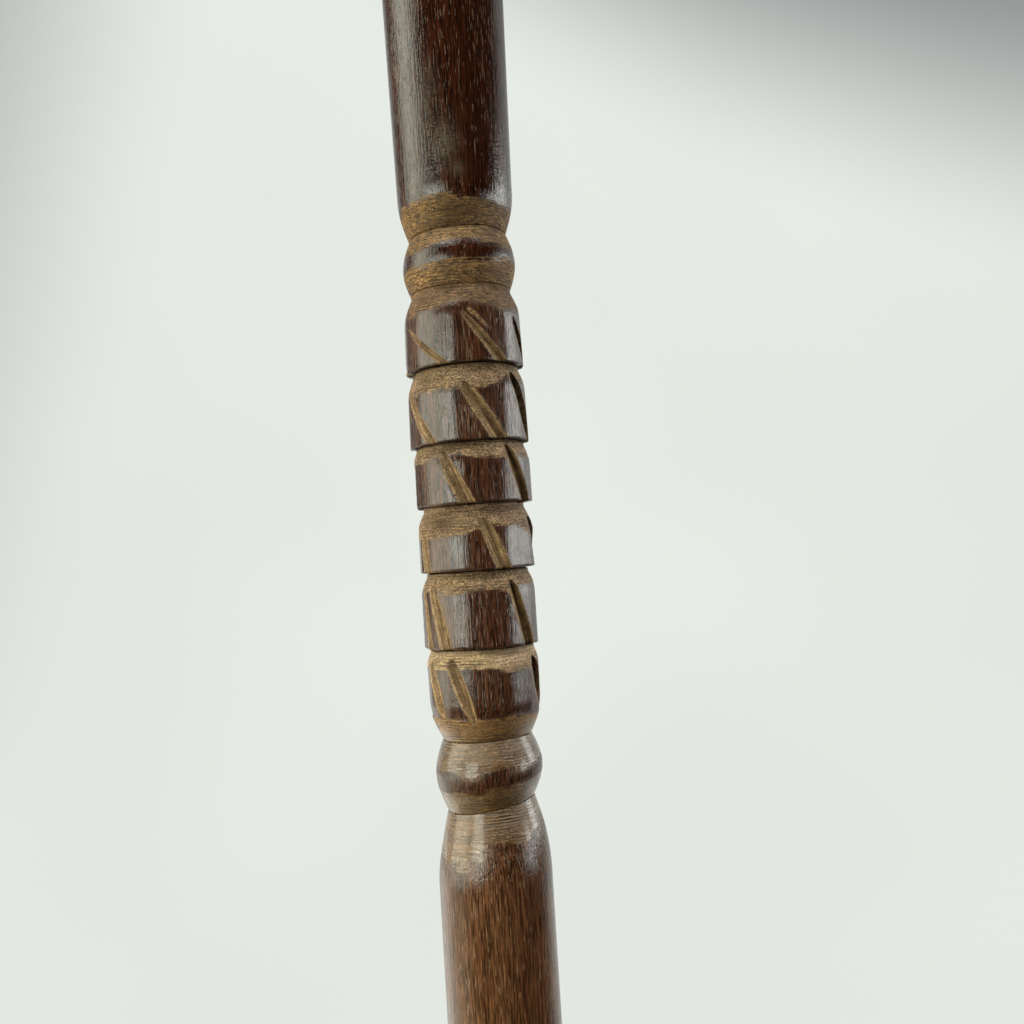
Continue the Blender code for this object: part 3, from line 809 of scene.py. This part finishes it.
class Nodes:
    """A short way to wire a material's nodes."""

    def __init__(self, name):
        self.material = bpy.data.materials.new(name)
        self.material.use_nodes = True
        self.tree = self.material.node_tree
        self.shader = self.tree.nodes["Principled BSDF"]

    def put(self, value, socket):
        if isinstance(value, bpy.types.NodeSocket):
            self.tree.links.new(value, socket)
        else:
            socket.default_value = value

    def node(self, kind, inputs=None, **settings):
        made = self.tree.nodes.new(kind)
        for key, value in settings.items():
            setattr(made, key, value)
        for key, value in (inputs or {}).items():
            self.put(value, made.inputs[key])
        return made

    def math(self, operation, a, b=0.0, c=0.0):
        made = self.node("ShaderNodeMath", operation=operation)
        for k, value in enumerate((a, b, c)):
            self.put(value, made.inputs[k])
        return made.outputs[0]

    def plus(self, a, b):
        return self.math("ADD", a, b)

    def minus(self, a, b):
        return self.math("SUBTRACT", a, b)

    def times(self, a, b):
        return self.math("MULTIPLY", a, b)

    def times_plus(self, a, b, c):
        """a times b, plus c."""
        return self.math("MULTIPLY_ADD", a, b, c)

    def ramp(self, value, low, high, to_low=0.0, to_high=1.0):
        """A smooth step of value, from to_low at low to to_high at high."""
        inputs = {"Value": value, "From Min": low, "From Max": high, "To Min": to_low, "To Max": to_high}
        made = self.node("ShaderNodeMapRange", inputs, interpolation_type="SMOOTHSTEP")
        return made.outputs["Result"]

    def mix(self, factor, a, b, blend="MIX"):
        made = self.node("ShaderNodeMix", data_type="RGBA", blend_type=blend)
        self.put(factor, made.inputs[0])
        self.put(a, made.inputs[6])
        self.put(b, made.inputs[7])
        return made.outputs[2]

    def place(self, scale, turn=(0.0, 0.0, 0.0), offset=(0.0, 0.0, 0.0)):
        """Object coordinates, turned, then multiplied by scale in 1/m."""
        start = self.node("ShaderNodeTexCoord").outputs["Object"]
        turned = self.node("ShaderNodeMapping", {"Vector": start, "Rotation": turn})
        inputs = {"Vector": turned.outputs[0], "Location": offset, "Scale": scale}
        return self.node("ShaderNodeMapping", inputs).outputs[0]

    def noise(self, vector, detail=2.0, roughness=0.5, distortion=0.0):
        inputs = {"Vector": vector, "Scale": 1.0, "Detail": detail}
        inputs |= {"Roughness": roughness, "Distortion": distortion}
        return self.node("ShaderNodeTexNoise", inputs).outputs[0]

    def attribute(self, name):
        return self.node("ShaderNodeAttribute", attribute_name=name).outputs["Fac"]

    def vary(self, colour, value, low, high):
        """The colour times a factor from low to high, as value rises through its middle range."""
        return self.mix(1.0, colour, self.ramp(value, 0.3, 0.7, low, high), "MULTIPLY")

    def bump(self, height, distance, normal=None):
        made = self.node("ShaderNodeBump", {"Height": height, "Distance": distance, "Strength": 1.0})
        if normal is not None:
            self.put(normal, made.inputs["Normal"])
        return made.outputs[0]


class WoodNodes(Nodes):
    """A wood's nodes, with what several parts of its look share. Its grain runs along the turned Z."""

    def __init__(self, name, grain_turn, seed):
        super().__init__(name)
        self.turn, self.seed = grain_turn, seed
        self.offset = (seed * 3.1, seed * 1.7, seed * 2.3)
        self.height = self.node("ShaderNodeSeparateXYZ", {"Vector": self.place((1, 1, 1))}).outputs["Z"]
        self.low = self.ramp(self.height, *LIGHTER_WOOD_Z)
        self.above = self.ramp(self.height, *DARKER_WOOD_Z)
        self.smoother = self.ramp(self.height, *SMOOTHER_RAW_Z)

        self.streak = self.grain((4200, 4200, 110), 3.0, 0.6)
        self.hair = self.grain((6800, 6800, 380), 2.0, 0.6)
        pores, pore_patch = self.grain((12000, 12000, 760), 1.0, 0.4), self.grain((420, 420, 60), 2.0, 0.5)
        pore_cut = self.ramp(pore_patch, 0.35, 0.65, 0.70, 0.62)
        self.pore = self.ramp(self.minus(pores, pore_cut), 0.0, 0.05)

        self.mottle = self.grain((900, 900, 900), 4.0, 0.65)
        self.fibres = self.grain((3600, 3600, 9000), 3.0, 0.65)
        self.specks = self.grain((6000, 6000, 6000), 2.0, 0.6)
        spots = self.grain((4300, 4300, 6000), 3.0, 0.85)
        dashes = self.noise(self.place((1500, 1500, 8200), (0.03, -0.04, 0.0), self.offset), 3.0, 0.8)
        lined = self.math("MAXIMUM", self.smoother, self.ramp(self.height, *LINED_RAW_Z))
        self.flecks = self.mix(lined, spots, dashes)
        strokes = self.noise(self.place((230, 230, 5200), (-0.05, 0.04, 0.0), self.offset), 3.0, 0.65)
        self.fine_stroke = self.ramp(strokes, 0.58, 0.36)
        self.in_gouge = self.attribute("in_gouge")

    def grain(self, scale, detail, roughness, distortion=0.0):
        return self.noise(self.place(scale, self.turn, self.offset), detail, roughness, distortion)


def polished_colour(n):
    """Dark hardwood: its figure, streaks, hair-fine dark lines and pale pores."""
    figure = n.grain((260, 260, 9), 3.0, 0.55, 0.6)
    dark, light = n.mix(n.low, WOOD_DARK, LOWER_DARK), n.mix(n.low, WOOD_LIGHT, LOWER_LIGHT)
    colour = n.mix(n.ramp(figure, 0.3, 0.7), dark, light)
    colour = n.mix(n.times(n.ramp(n.streak, 0.42, 0.70), 0.7), colour, light)
    hair_line = n.times(n.ramp(n.hair, 0.60, 0.38), n.times_plus(n.low, -0.27, 0.6))
    colour = n.vary(n.mix(hair_line, colour, HAIR_LINE), n.hair, 0.42, 1.58)
    colour = n.mix(n.above, colour, n.mix(1.0, colour, UPPER_FACTOR, "MULTIPLY"))
    return n.mix(n.times(n.pore, n.times_plus(n.low, 0.22, 0.26)), colour, PALE_PORE)


def file_strokes(n):
    """Strokes of the file on raw wood: deep ones at an even pitch here and there, and fine ones."""
    wander = n.noise(n.place((190, 190, 420), (0.05, 0.03, 0.0), n.offset), 3.0, 0.6)
    saw = n.math("SINE", n.times_plus(n.height, 2 * math.pi / FILE_PITCH, n.times(wander, FILE_WANDER)))
    deep_here = n.ramp(n.grain((330, 330, 800), 2.0, 0.5), 0.42, 0.66, 0.05, 1.0)
    deep = n.times(n.ramp(saw, 0.9, -0.9), deep_here)
    shown = n.times(n.attribute("filed"), n.ramp(n.height, *SMOOTHER_RAW_Z, 1.0, 1.25))
    return n.times(n.times_plus(n.fine_stroke, 0.75, deep), shown)


def knife_lines(n):
    """Lines that the knife left along each gouge."""
    at = {"X": n.times(n.attribute("across"), 3.6), "Y": n.seed, "Z": n.times(n.height, 160.0)}
    return n.ramp(n.noise(n.node("ShaderNodeCombineXYZ", at).outputs[0], 2.0, 0.6), 0.60, 0.42)


def raw_colour(n, strokes, knife):
    """Pale wood as the file left it, its colour changed down the shaft and, on the last band's chamfer,
    lightened as painted light, and freshly cut in the gouges.
    """
    patch = n.grain((230, 230, 420), 2.0, 0.5)
    colour = n.mix(n.ramp(patch, 0.38, 0.62), RAW_YELLOW, RAW_RED)
    colour = n.mix(n.times(n.ramp(n.mottle, 0.38, 0.66), 0.7), colour, RAW_MOTTLE)
    colour = n.mix(n.times(n.ramp(n.fibres, 0.45, 0.72), 0.6), colour, RAW_FIBRE)
    depth = n.times_plus(n.ramp(n.height, *FINER_RAW_Z), -0.60, 1.05)
    colour = n.vary(colour, n.flecks, n.minus(1.0, depth), n.plus(1.0, depth))
    # Down the shaft the colour is multiplied, partly as painted light from above on the last band's chamfer.
    tone_and_light = n.node("ShaderNodeAttribute", attribute_name="tone_and_light").outputs["Color"]
    colour = n.mix(1.0, colour, tone_and_light, "MULTIPLY")

    fresh = n.mix(n.ramp(n.mottle, 0.35, 0.65), FRESH_PALE, FRESH_DARK)
    fresh = n.vary(n.mix(n.times(knife, 0.85), fresh, FRESH_CUT), n.flecks, 0.85, 1.15)
    colour = n.mix(n.times(n.in_gouge, 0.85), colour, fresh)
    colour = n.mix(n.times(strokes, 0.55), colour, FILE_STROKE)
    colour = n.mix(n.times(n.ramp(n.specks, 0.58, 0.66), 0.9), colour, DARK_SPECK)
    return n.mix(n.times(n.ramp(n.specks, 0.31, 0.26), 0.9), colour, PALE_SPECK)


def raw_depth(n):
    """How far inside raw wood a point is, in millimetres, with the raw wood's edge made ragged."""
    edge = n.grain((1500, 1500, 1500), 3.0, 0.6)
    filed = n.attribute("filed")
    uneven = n.times(n.minus(edge, 0.5), n.times_plus(filed, 0.5, 0.15))
    uneven = n.times_plus(n.minus(n.fine_stroke, 0.5), n.times(filed, 0.4), uneven)
    return n.plus(n.attribute("raw_mm"), uneven)


def set_shine(n, inside, raw, haze, dirt):
    """How rough and how shiny the wood is, where it is polished and where it is raw."""
    dull = n.attribute("dull")
    scuff = n.ramp(n.grain((300, 300, 160), 4.0, 0.65), 0.48, 0.70)
    rough = n.times_plus(scuff, 0.11, n.times_plus(n.streak, 0.16, 0.09))
    rough = n.times(rough, n.times_plus(n.math("MAXIMUM", n.above, n.low), -0.4, 1.0))
    worn_rim = n.ramp(inside, -0.40, -0.05)
    rough = n.times_plus(worn_rim, 0.13, rough)
    rough = n.times_plus(dull, 0.45, n.times_plus(haze, 0.25, rough))
    polished = n.minus(1.0, raw)
    raw_rough = n.times_plus(n.smoother, -0.30, 0.50)
    n.put(n.plus(n.times(rough, polished), n.times(raw, raw_rough)), n.shader.inputs["Roughness"])

    raw_shine = n.times_plus(n.smoother, 0.50, 0.25)
    shine = n.plus(n.times(raw_shine, raw), n.times(polished, 0.62))
    shine = n.times_plus(dull, -0.5, n.times_plus(dirt, -0.4, shine))
    n.put(shine, n.shader.inputs["Specular IOR Level"])
    n.put(n.times(n.times(n.smoother, raw), 0.5), n.shader.inputs["Coat Weight"])
    n.shader.inputs["Coat Roughness"].default_value = 0.16


def set_bumps(n, inside, strokes, knife):
    """The relief of raw wood, then the fine bumps of grain and pores over everything."""
    well_in = n.ramp(inside, 0.05, 0.30)
    relief = n.times_plus(n.times(strokes, well_in), -0.30, n.times(n.times(knife, n.in_gouge), -0.5))
    rough_fibre = n.minus(n.plus(n.fibres, n.minus(n.flecks, n.specks)), 0.5)
    relief = n.times_plus(n.times(rough_fibre, well_in), n.times_plus(n.smoother, -0.4, 0.8), relief)
    grit = n.grain((7000, 7000, 5200), 1.0, 0.5)
    sheen = n.times_plus(n.pore, -0.5, n.times_plus(n.hair, 1.2, n.times(grit, 0.7)))
    sheen = n.times_plus(n.streak, 1.1, sheen)
    normal = n.bump(sheen, SHEEN_DEPTH, n.bump(relief, RELIEF_DEPTH))
    n.put(normal, n.shader.inputs["Normal"])


def wood(name, grain_turn, seed):
    """Dark hardwood, polished, and pale where raw_mm says that it is filed or cut."""
    n = WoodNodes(name, grain_turn, seed)
    strokes, knife = file_strokes(n), knife_lines(n)
    inside = raw_depth(n)
    raw = n.ramp(inside, -0.07, 0.07)
    haze = n.times(n.attribute("haze"), n.ramp(n.flecks, 0.35, 0.6, 0.2, 1.0))
    # Painted shade in knife lines and deep gouges, where the wood is also a little dirty, and darker
    # patches.
    dirt = n.times(n.attribute("painted_shade_and_dirt"), n.ramp(n.flecks, 0.40, 0.55, 0.15, 1.0))
    colour = n.mix(raw, polished_colour(n), raw_colour(n, strokes, knife))
    n.put(n.mix(dirt, n.mix(haze, colour, HAZE), DIRT_AND_SHADE), n.shader.inputs["Base Color"])
    set_shine(n, inside, raw, haze, dirt)
    set_bumps(n, inside, strokes, knife)
    return n.material


def brass(name, colour, roughness, seed):
    """Worn brass: a little tarnish, and fine scratches in the polish."""
    n = Nodes(name)
    offset = (seed * 2.7, seed, seed * 1.3)
    tarnish = n.ramp(n.noise(n.place((700, 700, 700), offset=offset), 4.0, 0.6), 0.42, 0.72)
    scratch = n.noise(n.place((4000, 4000, 900), offset=offset), 3.0, 0.7)
    n.put(n.mix(tarnish, rgb(*colour), TARNISH), n.shader.inputs["Base Color"])
    n.shader.inputs["Metallic"].default_value = 1.0
    rough = n.times_plus(tarnish, 0.22, n.times_plus(scratch, 0.2, roughness))
    n.put(rough, n.shader.inputs["Roughness"])
    n.put(n.bump(scratch, SCRATCH_DEPTH), n.shader.inputs["Normal"])
    return n.material


def glowing_paper(name):
    """Pale paper that glows, a little cloudy, and greyed by painted shade in the back half's two upper
    corners.
    """
    n = Nodes(name)
    cloud = n.noise(n.place((1.1, 1.1, 1.1)), 2.0, 0.5)
    glow = n.mix(n.ramp(cloud, 0.3, 0.7), PAPER_DIM, PAPER_BRIGHT)
    x, y, z = n.node("ShaderNodeSeparateXYZ", {"Vector": n.place((1, 1, 1))}).outputs
    upper_right = n.times_plus(x, 0.6, z)
    upper_left = n.times_plus(z, 0.25, n.times(x, -1.0))
    behind = n.ramp(y, 0.95, 1.25)
    # Painted shade in the back half's two upper corners.
    glow = n.mix(n.times(behind, n.ramp(upper_left, 0.5, 1.0)), glow, PAPER_LEFT_SHADE)
    glow = n.mix(n.times(behind, n.ramp(upper_right, 0.62, 1.12)), glow, PAPER_RIGHT_SHADE)
    n.put(glow, n.shader.inputs["Emission Color"])
    plain = {"Emission Strength": 1.0, "Roughness": 0.9, "Specular IOR Level": 0.1, "Base Color": PAPER_BASE}
    for socket, value in plain.items():
        n.shader.inputs[socket].default_value = value
    return n.material


# ---------------------------------------------------------------- studio, light and camera

STUDIO_R = 1.5
FLOOR_BELOW = 0.42        # from the spindle's lowest point down to the floor
COVE_R = 0.5
WALL_TOP = 1.9
DOME_OVERLAP = 1.02       # the dome is this much wider than the wall, and starts below the wall's top
DOME_DEG = (88, -5)
BACK_DEG = (118, 222)     # the stretch of wall, counted from -Y, that lights the spindle from behind
BOWL_COLUMNS = 49

CAMERA_DISTANCE = 0.112
CAMERA_DROP = 140.0
CAMERA_LENS = 37.27
CAMERA_YAW, CAMERA_PITCH, CAMERA_ROLL = 2.06, 2.47, -3.58
SIGHT_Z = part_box("shaft")[1].z - CAMERA_DROP * MM

# Soft lights: name, azimuth and elevation in degrees, distance, width and height in metres, power in
# watts and colour. Azimuth 0 is on the main camera's side, and 90 is at +X.
LIGHTS = [
    ("window_left", -84, 12, 0.9, 0.65, 0.88, 7.6, (0.97, 1.0, 0.83)),
    ("window_low_left", -41, 4, 0.9, 0.38, 0.40, 4.0, (0.96, 1.0, 0.86)),
    ("window_right", 107, 8, 0.9, 0.27, 0.40, 2.55, (0.97, 1.0, 0.95)),
    ("window_low_right", 80, -2, 0.9, 0.25, 0.26, 1.75, (0.97, 1.0, 0.94)),
    ("overhead_left", -31, 57, 1.0, 0.46, 0.42, 5.9, (0.98, 1.0, 0.88)),
    ("overhead_right", 64, 57, 1.0, 0.36, 0.34, 3.3, (0.98, 1.0, 0.92)),
    ("near_low_left", -125, -30, 0.36, 0.25, 0.25, 0.34, (1.0, 0.94, 0.80)),
    ("low_left", -84, -26, 0.5, 0.20, 0.16, 0.20, (1.0, 0.80, 0.50)),
]


def bowl_part(name, outline, start, end, pole_z, finish):
    """An outline of (radius, z) turned round +Z from start to end, in degrees, and closed at its pole."""
    turns = np.radians(np.linspace(start, end, BOWL_COLUMNS))
    points = [(0.0, 0.0, pole_z)] * BOWL_COLUMNS
    points += [(r * math.sin(a), -r * math.cos(a), z) for r, z in outline for a in turns]
    faces = []
    for row in range(len(outline)):
        for column in range(BOWL_COLUMNS - 1):
            here = row * BOWL_COLUMNS + column
            face = [here, here + 1, here + BOWL_COLUMNS + 1, here + BOWL_COLUMNS]
            faces.append(face if row else face[1:])
    mesh = bpy.data.meshes.new(name)
    mesh.from_pydata(points, [], faces)
    mesh.shade_smooth()
    mesh.materials.append(finish)
    made = bpy.data.objects.new(name, mesh)
    bpy.context.scene.collection.objects.link(made)
    return made


def studio_bowl():
    """A seamless pale bowl: a round floor that curves up into the wall, and glows like a light tent.
    Only its back lights the spindle. The rest is seen but gives no light, so the front stays shaded."""
    floor_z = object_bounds()[0].z - FLOOR_BELOW
    flat_r = STUDIO_R - COVE_R
    side = [(flat_r * s, floor_z) for s in (0.25, 0.5, 0.75, 1.0)]
    for turn in np.radians(np.linspace(0, 90, 17))[1:]:
        side.append((flat_r + COVE_R * math.sin(turn), floor_z + COVE_R * (1 - math.cos(turn))))
    side += [(STUDIO_R, floor_z + WALL_TOP * s) for s in (0.5, 0.75, 1.0)]
    dome = []
    for turn in np.radians(np.linspace(*DOME_DEG, 17)):
        radius = STUDIO_R * DOME_OVERLAP * math.cos(turn)
        dome.append((radius, floor_z + WALL_TOP + STUDIO_R * math.sin(turn)))
    finish = glowing_paper("studio_paper")
    bowl_part("studio_back", side, *BACK_DEG, floor_z, finish)
    unlit = [bowl_part("studio_front", side, BACK_DEG[1] - 360, BACK_DEG[0], floor_z, finish)]
    unlit += [bowl_part("studio_dome", dome, 0, 360, floor_z + WALL_TOP + STUDIO_R, finish)]
    for part in unlit:
        part.visible_diffuse = part.visible_glossy = False


def softbox(name, azimuth, elevation, distance, width, height, power, colour):
    centre = Vector((0.0, 0.0, SIGHT_Z))
    a, e = math.radians(azimuth), math.radians(elevation)
    out = Vector((math.sin(a) * math.cos(e), -math.cos(a) * math.cos(e), math.sin(e)))
    light = bpy.data.lights.new(name, "AREA")
    light.shape = "RECTANGLE"
    light.size, light.size_y = width, height
    light.energy = power
    light.color = colour
    made = bpy.data.objects.new(name, light)
    made.location = centre + out * distance
    made.rotation_mode = "QUATERNION"
    made.rotation_quaternion = out.to_track_quat("Z", "Y")
    made.visible_camera = False
    bpy.context.scene.collection.objects.link(made)


def light_the_studio():
    world = bpy.data.worlds.new("room")
    world.use_nodes = True
    world.node_tree.nodes["Background"].inputs["Color"].default_value = ROOM
    world.node_tree.nodes["Background"].inputs["Strength"].default_value = 1.0
    bpy.context.scene.world = world
    for light in LIGHTS:
        softbox(*light)
    bpy.context.scene.view_settings.view_transform = "Standard"


def make_camera():
    """Close to the carved stretch, turned a little to the right, up and anticlockwise."""
    camera = bpy.data.cameras.new("camera")
    camera.lens = CAMERA_LENS
    camera.clip_start = 0.005
    camera.clip_end = 20.0
    made = bpy.data.objects.new("camera", camera)
    yaw, pitch, roll = (math.radians(v) for v in (CAMERA_YAW, CAMERA_PITCH, CAMERA_ROLL))
    ahead = Vector((math.sin(yaw) * math.cos(pitch), math.cos(yaw) * math.cos(pitch), math.sin(pitch)))
    level = Vector((math.cos(yaw), -math.sin(yaw), 0.0))
    above = level.cross(ahead)
    right = level * math.cos(roll) + above * math.sin(roll)
    up = above * math.cos(roll) - level * math.sin(roll)
    turn = Matrix((right, up, -ahead)).transposed()
    made.matrix_world = Matrix.Translation((0.0, -CAMERA_DISTANCE, SIGHT_Z)) @ turn.to_4x4()
    bpy.context.scene.collection.objects.link(made)
    bpy.context.scene.camera = made


# ---------------------------------------------------------------- putting it together


def dress(piece, node, body, finish):
    """The piece stands for a CAD node, rides on its body and takes its finish."""
    piece.data.materials.append(finish)
    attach(piece, body)
    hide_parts(node)


shaft_wood = wood("shaft_hardwood", (0.0, 0.0, 0.0), seed=0.0)
whorl_wood = wood("whorl_hardwood", (0.0, math.pi / 2, 0.0), seed=1.0)
hook_brass = brass("hook_wire", (0.72, 0.50, 0.22), 0.14, seed=1.0)
collar_brass = brass("collar_sheet", (0.68, 0.46, 0.19), 0.2, seed=2.0)
dress(make_shaft(), "shaft", "spindle", shaft_wood)
dress(make_whorl(), "whorl", "whorl", whorl_wood)
dress(make_hook(), "hook", "spindle", hook_brass)
dress(make_collar(), "hook_collar", "spindle", collar_brass)
studio_bowl()
light_the_studio()
make_camera()
